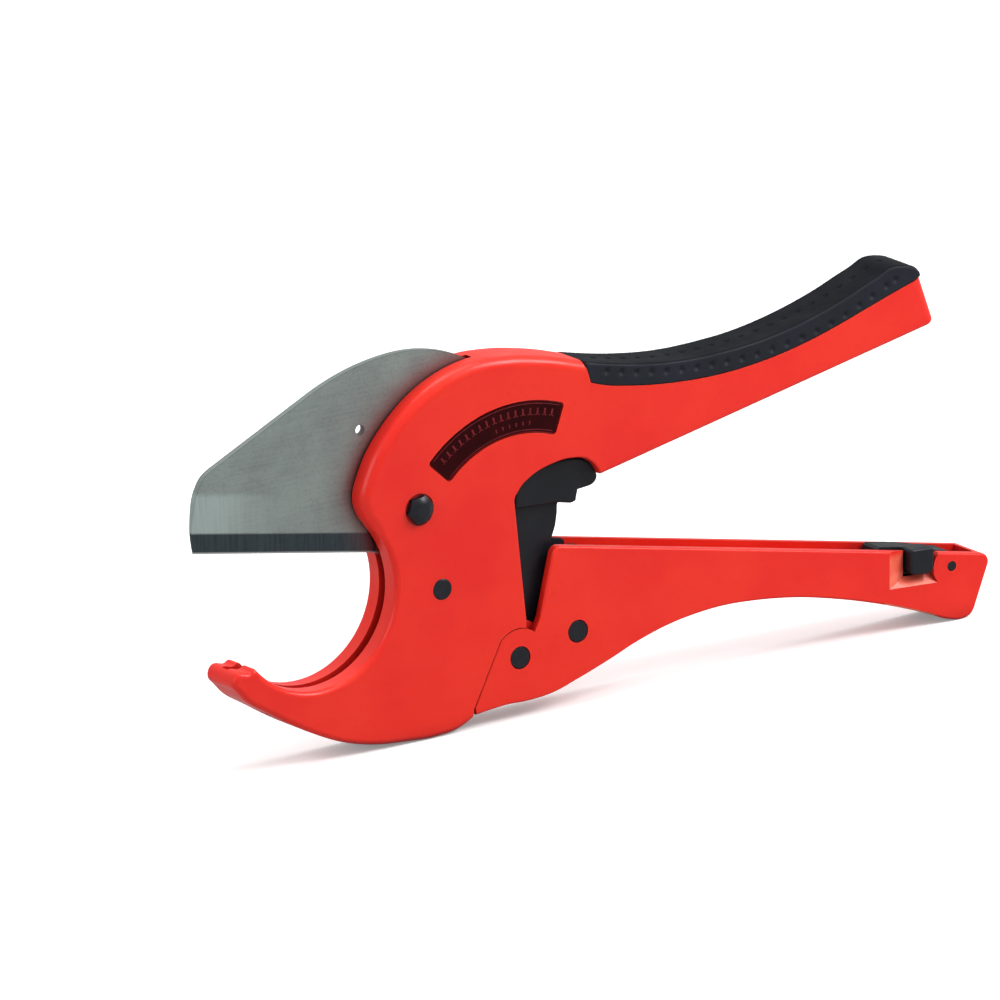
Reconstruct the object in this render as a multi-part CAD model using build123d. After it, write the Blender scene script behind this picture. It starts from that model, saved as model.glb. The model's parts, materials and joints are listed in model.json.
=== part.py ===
from build123d import *
import math
import os

# Ratchet shears for plastic pipe up to 63 mm.  Millimetres and degrees.
#
# The tool plane is X-Z and the thickness runs along Y: -Y is the near side, +Y the far
# side.  The handles point to +X.  Everything is drawn in a working frame whose origin is
# the handle pivot.  At the end it is shifted and tipped so that the tool stands on its
# lower jaw and the tail of its lower handle, with the origin at the centre of the pipe
# seat, in the blade's mid-plane.  Points are (x, z) and angles run counter-clockwise
# from +X, seen from the near side.

TIP_DEG = 3.78            # tip of the working frame, clockwise
SEAT = (-90.8, 34.2)      # centre of the pipe seat
SEAT_R = 35.5

# Half-thicknesses about the mid-plane
HALF_T = 10.5             # casting and lower handle
HANDLE_IN = 7.0           # inside of the lower handle's channel
LUG_OUT = 6.8             # outside of the body's pivot lugs
LUG_IN = 4.4              # gap between the lugs
SLOT = 2.2                # blade slot
BLADE_T = 1.5             # blade
CAVITY = 6.9              # hollow behind the lever tab
TONGUE_T = 7.4            # tongue under the grip pad
THROUGH = 20.0            # cutters that pass right through

# Pivots and pins
BLADE_PIVOT = (-45.05, 63.7)
HANDLE_PIVOT = (0.0, 0.0)
STOP_PIN = (-34.9, 31.3)
DRIVE_PIN = (25.84, 7.0)
LATCH_PIN = (194.3, 10.55)
CROSS_BAR = (170.9, 106.7)    # bar the latch hooks on to

PIN_R = 4.5               # handle pivot pin and drive pawl pin
LATCH_PIN_R = 2.0
STOP_PIN_R = 3.0
BOLT_R = 4.0              # blade pivot bolt
SLEEVE_R = 6.0            # sleeve the blade turns on
RUN = 0.04                # radial running clearance
PRESS = 0.01              # radial clearance of a pin that stays put
HEX_TURN = 12.0           # angle of the first corner of bolt head and nut

# Ratchet sector and blade
TOOTH_TIP = 60.0          # radii about the blade pivot
TOOTH_ROOT = 57.0
PITCH_DEG = 5.0
LAND_DEG = 0.5            # width of a tooth tip
UNDERCUT_DEG = 0.53       # lean of the tooth face
HOLD_DEG = -8.0           # where the holding pawl meets the sector
OPEN_DEG = 30.0           # blade travel from rest to open
CLOSE_DEG = 60.0          # blade travel from rest to closed
SEAT_DEG = 3.1            # lever travel from rest to seated in a tooth gap
EDGE_NORMAL_DEG = 263.13  # from the blade pivot square to the edge, at rest
EDGE_OFF = 18.5           # distance from the blade pivot to the cutting edge
BLADE_GAP = 1.2           # room round the blade in its slot
TIP_R = 96.6              # radius of the clearance for the blade tip


# ------------------------------------------------------------ plane geometry --
# The drawing functions return lists of edges, which face_of joins in order.
def polar(centre, radius, deg):
    a = math.radians(deg)
    return (centre[0] + radius * math.cos(a), centre[1] + radius * math.sin(a))


def on_blade(radius, deg):
    return polar(BLADE_PIVOT, radius, deg)


def turn(point, centre, deg):
    """Turn a point about a centre, counter-clockwise."""
    a = math.radians(deg)
    x, z = toward(centre, point)
    return (centre[0] + x * math.cos(a) - z * math.sin(a),
            centre[1] + x * math.sin(a) + z * math.cos(a))


def toward(start, end):
    return (end[0] - start[0], end[1] - start[1])


def unit(v):
    length = math.hypot(*v)
    return (v[0] / length, v[1] / length)


def path(*points):
    return [Edge.make_line(a, b) for a, b in zip(points, points[1:])]


def closed(points):
    return path(*points, points[0])


def arc(start, middle, end):
    return [Edge.make_three_point_arc(start, middle, end)]


def circle_arc(centre, radius, *degs):
    """Arc about a centre through its start, middle and end angles."""
    return arc(*[polar(centre, radius, deg) for deg in degs])


def flow(points, start=None, end=None):
    """A smooth run of tangent arcs through the points (a biarc between each pair).

    Without a start or end direction there must be at least three points.
    """
    tangents = [start]
    for a, b, c in zip(points, points[1:], points[2:]):
        before, after = math.dist(a, b), math.dist(b, c)
        tangents.append(tuple((b[i] - a[i]) / before * after + (c[i] - b[i]) / after * before
                              for i in (0, 1)))
    tangents.append(end)
    if start is None:
        tangents[0] = mirror_dir(tangents[1], toward(points[0], points[1]))
    if end is None:
        tangents[-1] = mirror_dir(tangents[-2], toward(points[-2], points[-1]))
    edges = []
    for i in range(len(points) - 1):
        edges += biarc(points[i], tangents[i], points[i + 1], tangents[i + 1])
    return edges


def mirror_dir(tangent, chord):
    """The tangent at the other end of a single arc with this tangent and chord."""
    (tx, tz), (cx, cz) = unit(tangent), unit(chord)
    d = tx * cx + tz * cz
    return (2 * d * cx - tx, 2 * d * cz - tz)


def biarc(start, start_dir, end, end_dir):
    """Two arcs, tangent to each other and to the given end directions."""
    t, u = unit(start_dir), unit(end_dir)
    vx, vz = toward(start, end)
    vv = vx * vx + vz * vz
    vt = vx * (t[0] + u[0]) + vz * (t[1] + u[1])
    bend = 2 * (1 - (t[0] * u[0] + t[1] * u[1]))
    if bend < 1e-9:       # parallel end directions
        reach = vv / (2 * vt)
    else:
        reach = (-vt + math.sqrt(vt * vt + bend * vv)) / bend
    a = (start[0] + reach * t[0], start[1] + reach * t[1])
    b = (end[0] - reach * u[0], end[1] - reach * u[1])
    joint = ((a[0] + b[0]) / 2, (a[1] + b[1]) / 2)
    return one_arc(start, t, joint) + one_arc(joint, toward(a, b), end)


def one_arc(start, direction, end):
    """The arc, or line where it is almost straight, that leaves start along direction."""
    t = unit(direction)
    cx, cz = toward(start, end)
    normal = (-t[1], t[0])
    rise = normal[0] * cx + normal[1] * cz
    chord_sq = cx * cx + cz * cz
    if abs(rise) < 2e-4 * math.sqrt(chord_sq):
        return path(start, end)
    radius = chord_sq / (2 * rise)
    centre = (start[0] + normal[0] * radius, start[1] + normal[1] * radius)
    # the arc turns through twice the angle between its tangent and its chord
    half_turn = math.atan2(rise, t[0] * cx + t[1] * cz)
    a = math.atan2(start[1] - centre[1], start[0] - centre[0]) + half_turn
    middle = (centre[0] + abs(radius) * math.cos(a), centre[1] + abs(radius) * math.sin(a))
    return arc(start, middle, end)


def face_of(*runs):
    return Face(Wire(sum(runs, [])))


def polygon(points):
    return face_of(closed(points))


def disc(centre, radius):
    return face_of([Edge.make_circle(radius).moved(Location((*centre, 0)))])


def hexagon(centre, across_flats):
    radius = across_flats / 2 / math.cos(math.radians(30))
    return polygon([polar(centre, radius, HEX_TURN + 60 * i) for i in range(6)])


# -------------------------------------------------------------------- solids --
def prism(face, y0, y1):
    """The X-Z profile extruded from y1 down to y0."""
    placed = face.moved(Plane.XZ.location).moved(Location((0, y1, 0)))
    return Solid.extrude(placed, Vector(0, y0 - y1, 0))


def slab(face, half=THROUGH):
    return prism(face, -half, half)


def bore(centre, radius):
    return slab(disc(centre, radius))


def both(face, y0, y1):
    """Two mirrored prisms, near side first."""
    return [prism(face, -y1, -y0), prism(face, y0, y1)]


def largest(shape):
    """The largest solid of a result."""
    if isinstance(shape, Solid):
        return shape
    return sorted(shape.solids(), key=lambda solid: -solid.volume)[0]


def fuse(first, *others):
    for other in others:
        first = largest(first.fuse(other))
    return largest(first.clean())


def cut(shape, *tools):
    for tool in tools:
        shape = largest(shape.cut(tool))
    return shape


def common(a, b):
    return largest(a.intersect(b))


def soften(shape, pick, radii):
    """Round the picked edges with the first radius that works, else leave them sharp."""
    edges = [e for e in shape.edges() if pick(e)]
    if not edges:
        return shape
    for radius in radii:
        # the kernel raises when a radius does not fit; the next one is then tried
        try:
            rounded = shape.fillet(radius, edges)
            if rounded.is_valid and rounded.volume > 0.5 * shape.volume:
                return rounded
        except Exception:
            continue
    return shape


def on_face(edge, half):
    """Whether an edge lies flat in one of the planes y = +-half."""
    box = edge.bounding_box()
    return abs(box.max.Y - box.min.Y) < 0.01 and abs(abs(box.max.Y) - half) < 0.01


def zone(*boxes):
    """Picks rim edges whose middle lies in one of the boxes (x0, x1, z0, z1)."""
    def pick(edge):
        if not on_face(edge, HALF_T):
            return False
        c = edge.position_at(0.5)
        return any(x0 < c.X < x1 and z0 < c.Z < z1 for x0, x1, z0, z1 in boxes)
    return pick


def nearer_than(y):
    """Picks edges wholly on the near side of y."""
    return lambda edge: edge.bounding_box().max.Y < y


def cross_edges(solid, length):
    """Edges that run further than length along Y."""
    return [e for e in solid.edges() if e.bounding_box().size.Y > length]


def pin(centre, radius, half, chamfer):
    shape = slab(disc(centre, radius), half)
    return shape.chamfer(chamfer, None, [e for e in shape.edges() if on_face(e, half)])


# ------------------------------------------------------------ casting outline --
UPPER_END = (187.2, 107.3)    # lower corner of the upper handle's end
END_DIR = (0.335, -0.942)     # down the end of the upper handle
END_LENGTH = 20.5
END_TOP = (UPPER_END[0] - END_LENGTH * END_DIR[0], UPPER_END[1] - END_LENGTH * END_DIR[1])
# top edge, from above the pipe seat to the end of the upper handle
TOP = [(-70.1, 70.0), (-67.3, 80.0), (-54.3, 99.1), (-39.0, 110.9), (-21.0, 117.3),
       (-4.0, 117.8), (11.9, 115.8), (33.5, 111.0), (54.0, 108.0), (72.0, 107.0),
       (90.0, 108.0), (106.9, 110.2), (124.0, 114.3), (142.2, 120.5), (158.0, 127.4),
       (169.0, 131.7), END_TOP]
# notch for the lever tab, from the foot of the upper handle
NOTCH = [(35.9, 66.7), (34.9, 69.2), (31.0, 73.2), (22.1, 75.0), (14.0, 73.7),
         (5.8, 70.6), (0.0, 66.0), (-2.4, 60.9)]
REAR_FOOT = (2.75, 16.0)
SEAM_R = 11.7                 # recess in the cheek for the lower handle's rounded nose
SEAM_DEGS = (77.0, 108.0, 141.0)
TAIL = (-20.7, -17.2)
# underside of the lower jaw, from the tail to the jaw's tip
BOTTOM = [(-20.9, -21.2), (-27.0, -24.4), (-37.0, -26.3), (-50.0, -26.5), (-64.0, -25.9),
          (-77.8, -23.2), (-93.4, -17.1), (-108.8, -9.0), (-124.2, 1.3), (-127.6, 6.3),
          (-125.6, 10.0), (-121.5, 9.8)]
CRADLE_DEGS = (222.0, 310.0, 43.0)
UP = (0.02, 1.0)
JAW_TIP_DIR = (1.0, -0.22)


def rounded_casting():
    """Body and grip pad in one, with rounded rims."""
    cradle_dir = (math.cos(math.radians(-48)), math.sin(math.radians(-48)))
    cradle_start = polar(SEAT, SEAT_R, CRADLE_DEGS[0])
    cradle_end = polar(SEAT, SEAT_R, CRADLE_DEGS[2])
    shape = slab(face_of(
        flow(TOP, start=UP, end=END_DIR),
        path(END_TOP, UPPER_END, NOTCH[0]),
        flow(NOTCH, start=(-0.1, 1.0), end=toward(NOTCH[-1], REAR_FOOT)),
        path(NOTCH[-1], REAR_FOOT, polar(HANDLE_PIVOT, SEAM_R, SEAM_DEGS[0])),
        circle_arc(HANDLE_PIVOT, SEAM_R, *SEAM_DEGS),
        path(polar(HANDLE_PIVOT, SEAM_R, SEAM_DEGS[2]), TAIL, BOTTOM[0]),
        flow(BOTTOM, end=JAW_TIP_DIR),
        flow([BOTTOM[-1], cradle_start], start=JAW_TIP_DIR, end=cradle_dir),
        circle_arc(SEAT, SEAT_R, *CRADLE_DEGS),
        flow([cradle_end, (-67.9, 62.6), TOP[0]], start=(-0.5, 0.87), end=UP)), HALF_T)
    top = zone((-72, 200, 105.5, 140), (-72, -40, 56.0, 140), (180.0, 187.1, 107.5, 130))
    jaw = zone((-130, -20.95, -30, 56.0))
    upper_handle = zone((36.0, 187.0, 66.8, 107.2))
    notch = zone((-2.6, 36.2, 16.5, 76.0))
    shape = soften(shape, top, [4.0, 3.6, 3.2, 2.6, 2.0])
    shape = soften(shape, jaw, [2.2, 1.8, 1.4, 1.0])
    shape = soften(shape, upper_handle, [1.8, 1.2, 0.8])
    return soften(shape, notch, [0.8, 0.5])


CASTING = rounded_casting()

# -------------------------------------------------------------------- grip pad --
# lower edge of the pad, front to rear
PAD_LOW = [(31.4, 103.4), (37.7, 101.6), (49.5, 99.9), (61.3, 98.9), (73.0, 98.6),
           (84.8, 98.9), (96.5, 100.0), (108.3, 101.9), (120.1, 104.5), (131.9, 107.9),
           (143.7, 112.0), (155.4, 116.5), (167.2, 121.0), (180.9, 126.0)]
PAD_FRONT = [(27.6, 113.6), (29.4, 109.6), PAD_LOW[0]]
PAD_BLOCK = slab(face_of(
    flow(PAD_LOW),
    path(PAD_LOW[-1], (190.0, 129.4), (190.0, 145.0), (26.0, 145.0), PAD_FRONT[0]),
    flow(PAD_FRONT)), HALF_T + 2)

# tongue of the body that the pad is moulded over
TONGUE_DROP = 3.2             # tongue's top below the casting's top edge
TONGUE_LOW = [(33.4, 96.0), (60.0, 94.0), (85.0, 94.5), (110.0, 98.0), (140.0, 107.0),
              (172.0, 117.5)]
TONGUE_TOP = [(x, z - TONGUE_DROP) for x, z in TOP if 31 < x < 170]
TONGUE = face_of(flow(TONGUE_LOW),
                 path(TONGUE_LOW[-1], (173.0, 127.0), TONGUE_TOP[-1]),
                 flow(TONGUE_TOP[::-1]),
                 path(TONGUE_TOP[0], TONGUE_LOW[0]))


def grip_pad():
    return cut(common(CASTING, PAD_BLOCK), slab(TONGUE, TONGUE_T + 0.02))


# ------------------------------------------------------------------ name plate --
PLATE_C = (BLADE_PIVOT[0] + 46.4, BLADE_PIVOT[1] - 20.1)   # centre of the plate's arcs
RECESS_R = (43.7, 56.5)
RECESS_DEGS = (71.0, 139.0)
PLATE_R = (44.3, 55.9)
PLATE_DEGS = (71.7, 138.3)
RECESS_DEPTH = 0.9


def band(radii, degs):
    """Part of a ring about PLATE_C."""
    (inner, outer), (start, end) = radii, degs
    middle = (start + end) / 2
    return face_of(circle_arc(PLATE_C, outer, start, middle, end),
                   path(polar(PLATE_C, outer, end), polar(PLATE_C, inner, end)),
                   circle_arc(PLATE_C, inner, end, middle, start),
                   path(polar(PLATE_C, inner, start), polar(PLATE_C, outer, start)))


def plate_recess():
    shape = prism(band(RECESS_R, RECESS_DEGS), -HALF_T - 1, -HALF_T + RECESS_DEPTH)
    return shape.fillet(1.6, cross_edges(shape, 1.5))


def name_plate():
    shape = prism(band(PLATE_R, PLATE_DEGS), -HALF_T + 0.1, -HALF_T + RECESS_DEPTH)
    return shape.fillet(1.2, cross_edges(shape, 0.6))


# ------------------------------------------------------------------------ body --
# hollow behind the lever tab, running on into the channel under the upper handle
HOLLOW = [(-9.0, 55.0), (-8.0, 64.5), (-3.0, 72.0), (5.0, 76.4), (15.0, 78.9), (25.0, 79.6),
          (40.0, 79.0), (60.0, 84.0), (100.0, 94.2), (150.0, 109.5), (158.0, 115.2),
          (174.0, 118.6), (179.0, 118.6), (183.2, 109.5), (184.0, 95.0), (36.0, 57.0),
          (20.0, 48.0), (4.0, 48.0), (-2.0, 55.0)]
# pocket for the lever's two side plates
POCKET = [(-10.2, 0.0), (-11.0, 8.0), (-11.0, 40.0), (-10.0, 60.0), (20.0, 60.0),
          (20.0, 6.0), (10.0, 0.0)]
# web that joins the pivot lugs to the casting
WEB = [(-26.0, -15.4), (-14.0, -15.4), (-5.2, -13.2), HANDLE_PIVOT, (2.5, 14.0),
       (-2.0, 22.0), (-14.0, 22.0), (-26.0, 6.0)]
LUG_R = 14.3
HUB_POCKET_R = 9.8
BAR_R = 2.0
BOLT_SPOT_R, BOLT_SPOT_DEPTH = 6.3, 0.8     # spot face for the bolt head
NUT_POCKET_R, NUT_POCKET_DEPTH = 8.6, 6.2
STOP_SPOT_R, STOP_SPOT_DEPTH = 4.15, 1.6    # counterbores at the stop pin's ends


def body():
    # blade slot: the sector's circle, and the sweep of the blade out to the closed edge
    closed_deg = EDGE_NORMAL_DEG + CLOSE_DEG
    foot = on_blade(EDGE_OFF + BLADE_GAP, closed_deg)
    far = polar(foot, 100, closed_deg - 90)
    sweep_area = polygon([foot, far, (far[0] - 90, far[1] - 10), (-165.0, 60.0),
                          (-150.0, 130.0), BLADE_PIVOT])
    blade_slot = common(slab(sweep_area, SLOT), slab(disc(BLADE_PIVOT, TIP_R), SLOT))
    sector_slot = slab(disc(BLADE_PIVOT, TOOTH_TIP + BLADE_GAP), SLOT)

    shape = cut(CASTING, PAD_BLOCK)
    shape = fuse(shape, common(CASTING, slab(TONGUE, TONGUE_T)))
    shape = cut(shape, blade_slot, sector_slot, slab(polygon(HOLLOW), CAVITY))
    lug = fuse(slab(disc(HANDLE_PIVOT, LUG_R), LUG_OUT), slab(polygon(WEB), LUG_OUT))
    shape = fuse(shape, cut(lug, sector_slot))
    shape = cut(shape, slab(polygon(POCKET), LUG_IN),
                slab(disc(HANDLE_PIVOT, HUB_POCKET_R), LUG_IN))
    shape = fuse(shape, slab(disc(CROSS_BAR, BAR_R), CAVITY + 0.4))
    return cut(
        shape,
        bore(HANDLE_PIVOT, PIN_R + RUN),
        bore(BLADE_PIVOT, BOLT_R + 0.05),
        prism(disc(BLADE_PIVOT, BOLT_SPOT_R), -HALF_T - 1, -HALF_T + BOLT_SPOT_DEPTH),
        prism(disc(BLADE_PIVOT, NUT_POCKET_R), HALF_T - NUT_POCKET_DEPTH, HALF_T + 1),
        bore(STOP_PIN, STOP_PIN_R + 0.02),
        *both(disc(STOP_PIN, STOP_SPOT_R), HALF_T - STOP_SPOT_DEPTH, HALF_T + 1),
        plate_recess())


# ----------------------------------------------------------------------- blade --
# Blade outline points are relative to the blade pivot.
# front end, from the tip of the cutting edge up to the spine
BLADE_FRONT = [(-94.5, -7.3), (-95.3, 4.6), (-92.9, 17.6), (-90.6, 21.6), (-86.0, 25.0)]
SPINE_DIR = (47.5, 25.7)
SPINE_END = (-43.0, 48.265)
SPINE_BEND = (-25.45, 55.66)
HEEL_BEND = (6.0, -33.6)
HEEL = (-14.0, -17.0)
SMALL_HOLE, SMALL_HOLE_R = (-21.0, 31.9), 2.0
STOP_SLOT_R = 33.95           # radius of the stop slot's centre line
STOP_SLOT_HALF = STOP_PIN_R + 0.3
# ground bevel: height above the edge, half-thickness left there
BEVEL = [(-4.0, 0.12), (0.0, 0.12), (8.2, 1.02), (24.0, 1.52), (24.0, 4.0), (-4.0, 4.0)]
GRIND_LENGTH, GRIND_LEAD = 93, 12    # grinding cut, and its start ahead of the tip


def from_pivot(point):
    return (BLADE_PIVOT[0] + point[0], BLADE_PIVOT[1] + point[1])


def blade():
    # clockwise round the sector: tip of the face, root under it, up to the next tip
    teeth = []
    for i in range(6, -14, -1):
        face_deg = HOLD_DEG + i * PITCH_DEG
        teeth += [on_blade(TOOTH_TIP, face_deg),
                  on_blade(TOOTH_ROOT, face_deg + UNDERCUT_DEG),
                  on_blade(TOOTH_TIP, face_deg - PITCH_DEG + LAND_DEG)]
    front = [from_pivot(p) for p in BLADE_FRONT]
    edge_tip, heel, spine_end = front[0], from_pivot(HEEL), from_pivot(SPINE_END)
    sector_end = on_blade(TOOTH_TIP, -80.7)
    shape = slab(face_of(
        flow(front, end=SPINE_DIR),
        path(front[-1], spine_end),
        arc(spine_end, from_pivot(SPINE_BEND), on_blade(TOOTH_TIP, 96.5)),
        arc(on_blade(TOOTH_TIP, 96.5), on_blade(TOOTH_TIP, 64.0), teeth[0]),
        path(*teeth, sector_end),
        arc(sector_end, from_pivot(HEEL_BEND), heel),
        path(heel, edge_tip)), BLADE_T)

    # curved slot for the stop pin: open on the sector's side, round at its far end
    ring = cut(bore(BLADE_PIVOT, STOP_SLOT_R + STOP_SLOT_HALF),
               bore(BLADE_PIVOT, STOP_SLOT_R - STOP_SLOT_HALF))
    x, z = toward(BLADE_PIVOT, STOP_PIN)
    slot_end = math.degrees(math.atan2(z, x)) + OPEN_DEG + 0.6
    wedge = slab(polygon([BLADE_PIVOT] + [on_blade(80, slot_end - d) for d in (0, 30, 52)]))
    shape = cut(shape, common(ring, wedge),
                bore(on_blade(STOP_SLOT_R, slot_end), STOP_SLOT_HALF),
                bore(BLADE_PIVOT, SLEEVE_R + RUN),
                bore(from_pivot(SMALL_HOLE), SMALL_HOLE_R))

    # bevels on both sides of the cutting edge
    along_x, along_z = unit(toward(edge_tip, heel))
    for side in (1, -1):
        profile = [Vector(edge_tip[0] - GRIND_LEAD * along_x - height * along_z,
                          side * y,
                          edge_tip[1] - GRIND_LEAD * along_z + height * along_x)
                   for height, y in BEVEL]
        reach = Vector(GRIND_LENGTH * along_x, 0, GRIND_LENGTH * along_z)
        shape = cut(shape, Solid.extrude(polygon(profile), reach))
    return shape


# -------------------------------------------------------- blade pivot hardware --
WASHER_R = 10.5
HEAD_AF = 10.0                # across flats
NUT_AF = 13.0
STOP_HEAD_R = 4.1


def blade_pivot_sleeve():
    return cut(slab(disc(BLADE_PIVOT, SLEEVE_R), SLOT - 0.02),
               bore(BLADE_PIVOT, BOLT_R + 0.03))


def blade_thrust_washers():
    hole = bore(BLADE_PIVOT, SLEEVE_R + 0.05)
    blanks = both(disc(BLADE_PIVOT, WASHER_R), BLADE_T + 0.05, SLOT - 0.05)
    return Compound(children=[cut(blank, hole) for blank in blanks])


def blade_pivot_bolt():
    x, z = BLADE_PIVOT
    head = prism(hexagon(BLADE_PIVOT, HEAD_AF), -HALF_T - 3.0, -HALF_T + 0.78)
    dome = Solid.make_sphere(8.6).moved(Location((x, -HALF_T + 5.2, z)))
    shank = prism(disc(BLADE_PIVOT, BOLT_R), -HALF_T + 0.7, HALF_T - 1.2)
    return fuse(common(head, dome), shank)


def blade_pivot_nut():
    x, z = BLADE_PIVOT
    nut = prism(hexagon(BLADE_PIVOT, NUT_AF), HALF_T - 6.15, HALF_T - 0.6)
    nut = cut(nut, bore(BLADE_PIVOT, BOLT_R + 0.02))
    # the cone bevels the outer corners
    cone_base = Plane((x, HALF_T - 8.0, z), z_dir=(0, 1, 0))
    return common(nut, Solid.make_cone(10.6, 6.4, 8.4, cone_base))


def blade_stop_pin():
    shape = fuse(slab(disc(STOP_PIN, STOP_PIN_R), HALF_T - 0.5),
                 prism(disc(STOP_PIN, STOP_HEAD_R), -HALF_T - 0.35, -HALF_T + 1.55))
    return soften(shape, nearer_than(-HALF_T - 0.3), [0.6, 0.3])


# ---------------------------------------------------------------- lower handle --
# underside, front to rear
HANDLE_LOW = [(-19.4, -19.9), (-15.5, -19.2), (-5.6, -17.8), (4.0, -17.4), (14.2, -15.9),
              (27.1, -11.4), (40.0, -6.2), (52.9, -0.6), (65.8, 3.8), (78.8, 6.7),
              (91.6, 8.3), (104.6, 8.5), (126.6, 6.9), (143.4, 4.0), (169.2, -2.3),
              (184.0, -7.0), (193.0, -10.2), (199.0, -10.9), (203.2, -9.4), (205.2, -6.2)]
REAR_CORNER = [(210.89, 9.08), (208.11, 13.76)]
FRONT_CORNER = [(18.36, 41.28), (14.44, 38.58)]
REAR_DIR = toward(HANDLE_LOW[-1], (211.6, 11.0))
RIM_DIR = (-191.7, 27.8)
FRONT_DIR = (-5.6, -24.8)
FRONT_FOOT = (9.0, 14.5)
NOSE_R = 11.3
NOSE_DEGS = (55.0, 100.0, 143.0)
HANDLE_FRONT = (-20.0, -16.8)
# floor of the channel, front to rear
FLOOR = [(-34.0, -16.0), (-16.0, -16.0), (-9.0, -15.6), (0.0, -14.75), (6.0, -14.0),
         (14.2, -12.2), (27.1, -7.6), (40.0, -2.4), (52.9, 3.2), (65.8, 7.6), (78.8, 10.5),
         (91.6, 12.1), (104.6, 12.3), (126.6, 10.7), (143.4, 7.8), (169.2, 1.7),
         (184.0, -2.8), (193.0, -6.0), (200.0, -6.0), (202.2, -3.5)]
# scoop in the near wall, at the inner and the outer surface
SCOOP_IN = [(174.0, 8.4), (174.0, 40.0), (200.0, 40.0), (200.0, 8.4)]
SCOOP_OUT = [(165.6, 4.8), (165.6, 40.0), (200.0, 40.0), (200.0, 4.8)]
LATCH_BOSS_R = 8.3


def latch_scoop():
    """Bevelled finger scoop for the latch, leaving the pin boss and all behind it."""
    outer, inner = -HALF_T - 0.2, -HANDLE_IN - 0.5
    rings = [Wire(closed([Vector(x, y, z) for x, z in points]))
             for points, y in ((SCOOP_OUT, outer), (SCOOP_IN, inner))]
    scoop = fuse(Solid.make_loft(rings, True),
                 prism(polygon(SCOOP_IN), inner, -HANDLE_IN + 0.5),
                 prism(polygon(SCOOP_OUT), -HALF_T - 1.0, outer))
    x = LATCH_PIN[0]
    behind = polygon([(x, -20), (x, 40), (230, 40), (230, -20)])
    return cut(scoop, *[prism(face, -HALF_T - 2, -HANDLE_IN + 1)
                        for face in (disc(LATCH_PIN, LATCH_BOSS_R), behind)])


def lower_handle():
    shape = slab(face_of(
        flow(HANDLE_LOW, end=REAR_DIR),
        path(HANDLE_LOW[-1], REAR_CORNER[0]),
        flow(REAR_CORNER, start=REAR_DIR, end=RIM_DIR),
        path(REAR_CORNER[1], FRONT_CORNER[0]),
        flow(FRONT_CORNER, start=RIM_DIR, end=FRONT_DIR),
        path(FRONT_CORNER[1], FRONT_FOOT, polar(HANDLE_PIVOT, NOSE_R, NOSE_DEGS[0])),
        circle_arc(HANDLE_PIVOT, NOSE_R, *NOSE_DEGS),
        path(polar(HANDLE_PIVOT, NOSE_R, NOSE_DEGS[2]), HANDLE_FRONT, HANDLE_LOW[0])), HALF_T)
    rims = zone((-19, 214, -25, 8.9), (14.0, 214, 9.0, 45.0), (9.1, 15.0, 15.0, 42.0))
    shape = soften(shape, rims, [2.2, 1.8, 1.4, 1.0])
    channel = face_of(
        flow(FLOOR),
        path(FLOOR[-1], (206.4, 11.0), (206.4, 60.0), (-34.0, 60.0), FLOOR[0]))
    return cut(shape, slab(channel, HANDLE_IN), latch_scoop(),
               bore(HANDLE_PIVOT, PIN_R + PRESS),
               bore(DRIVE_PIN, PIN_R + PRESS),
               bore(LATCH_PIN, LATCH_PIN_R + PRESS))


def handle_pivot_pin():
    return pin(HANDLE_PIVOT, PIN_R, half=HALF_T - 0.15, chamfer=0.5)


def drive_pawl_pin():
    return pin(DRIVE_PIN, PIN_R, half=HALF_T - 0.15, chamfer=0.5)


def latch_pin():
    return pin(LATCH_PIN, LATCH_PIN_R, half=HALF_T - 0.1, chamfer=0.3)


# rubber buffers at the mouth of the channel, one each side of the lever
BUFFER = [(16.4, 33.0), (29.0, 31.2), (29.4, 38.9), (28.0, 39.9), (24.2, 40.5),
          (22.6, 39.0), (17.3, 38.4)]


def handle_buffers():
    blocks = both(polygon(BUFFER), 4.75, HANDLE_IN - 0.02)
    return Compound(children=[b.fillet(0.6, cross_edges(b, 1.0)) for b in blocks])


# ------------------------------------------------ release lever, holding pawl --
LEVER_HUB_R = 8.6
PLATE_IN, PLATE_OUT = 2.7, 4.2    # half-widths inside and over the side plates
TAB_OUT = 6.4                     # half-width over the tab
TAB_FOOT = (0.2, 57.0)
TAB_TOP = [(0.2, 61.0), (2.4, 66.4), (8.0, 70.6), (16.4, 73.2), (24.7, 74.0), (30.6, 73.2),
           (34.6, 70.6), (36.9, 67.0), (37.0, 64.4), (35.6, 62.6), (33.4, 61.8)]
TAB_UNDER = [(28.0, 61.0), (27.2, 57.2), (25.2, 56.2), (20.3, 57.0)]
# solid beak that joins the two halves of the tab
BEAK = [(29.2, 61.2), *reversed(TAB_TOP[4:]), (19.5, 73.6), (19.5, 70.0), (29.2, 69.4)]
ARM = [polar(HANDLE_PIVOT, LEVER_HUB_R, 168.0), (-5.8, 18.0), (-2.6, 45.0), (0.2, 57.4),
       (20.3, 57.4), (20.2, 52.7), (19.5, 48.0), (17.2, 41.6), (12.5, 20.0),
       polar(HANDLE_PIVOT, LEVER_HUB_R, 12.0)]
# the holding pawl is drawn seated in its tooth gap, then turned to rest
SEATED_PAWL = [on_blade(57.75, HOLD_DEG + 0.10), on_blade(60.5, HOLD_DEG - 0.38),
               on_blade(60.6, -2.0), on_blade(60.7, 4.0), (25.0, 68.6), (24.2, 60.0),
               (18.4, 57.2), on_blade(63.4, HOLD_DEG - 2.6), on_blade(63.0, HOLD_DEG - 5.0),
               on_blade(60.4, HOLD_DEG - 4.5)]
SEATED_RIVETS = [(19.6, 61.5), (21.4, 66.0)]
RIVETS = [turn(p, HANDLE_PIVOT, -SEAT_DEG) for p in SEATED_RIVETS]
RIVET_R = 1.44


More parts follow.
